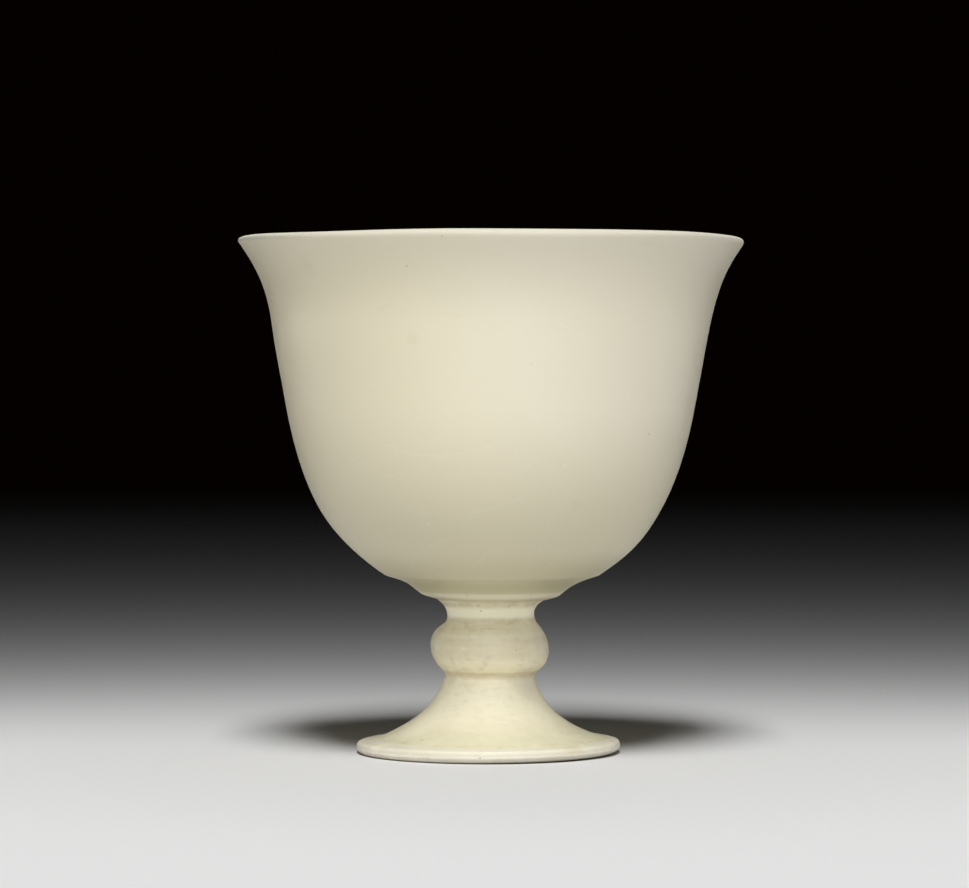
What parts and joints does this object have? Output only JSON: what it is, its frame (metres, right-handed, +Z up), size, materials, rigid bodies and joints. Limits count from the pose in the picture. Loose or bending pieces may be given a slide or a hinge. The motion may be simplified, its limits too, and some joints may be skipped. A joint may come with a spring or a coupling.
{
  "type": "stem cup",
  "caption": "Small wheel-thrown stem cup in cream-white glazed ceramic: deep flared bowl on a collar, a short stem with a knop and a spreading hollow foot.",
  "frame": {"origin": "centre of the circle that the foot's resting ring makes on the table", "axes": "+Z up along the axis of turning; X and Y are any two level directions, as the cup is round"},
  "size_m": [0.08, 0.08, 0.0813],
  "materials": {
    "clay": "fired white stoneware, unglazed, fine dry grain",
    "slip": "fired slip in the joint, hidden",
    "bowl_glaze": "satin cream glaze with fine crackle",
    "stem_glaze": "thin matte cream glaze with specks and stained creases"
  },
  "bodies": {
    "root": {"bowl_body": "clay", "bowl_inside_glaze": "bowl_glaze", "bowl_outside_glaze": "bowl_glaze", "luting_slip": "slip", "stem_body": "clay", "stem_glaze": "stem_glaze"}
  },
  "joints": []
}
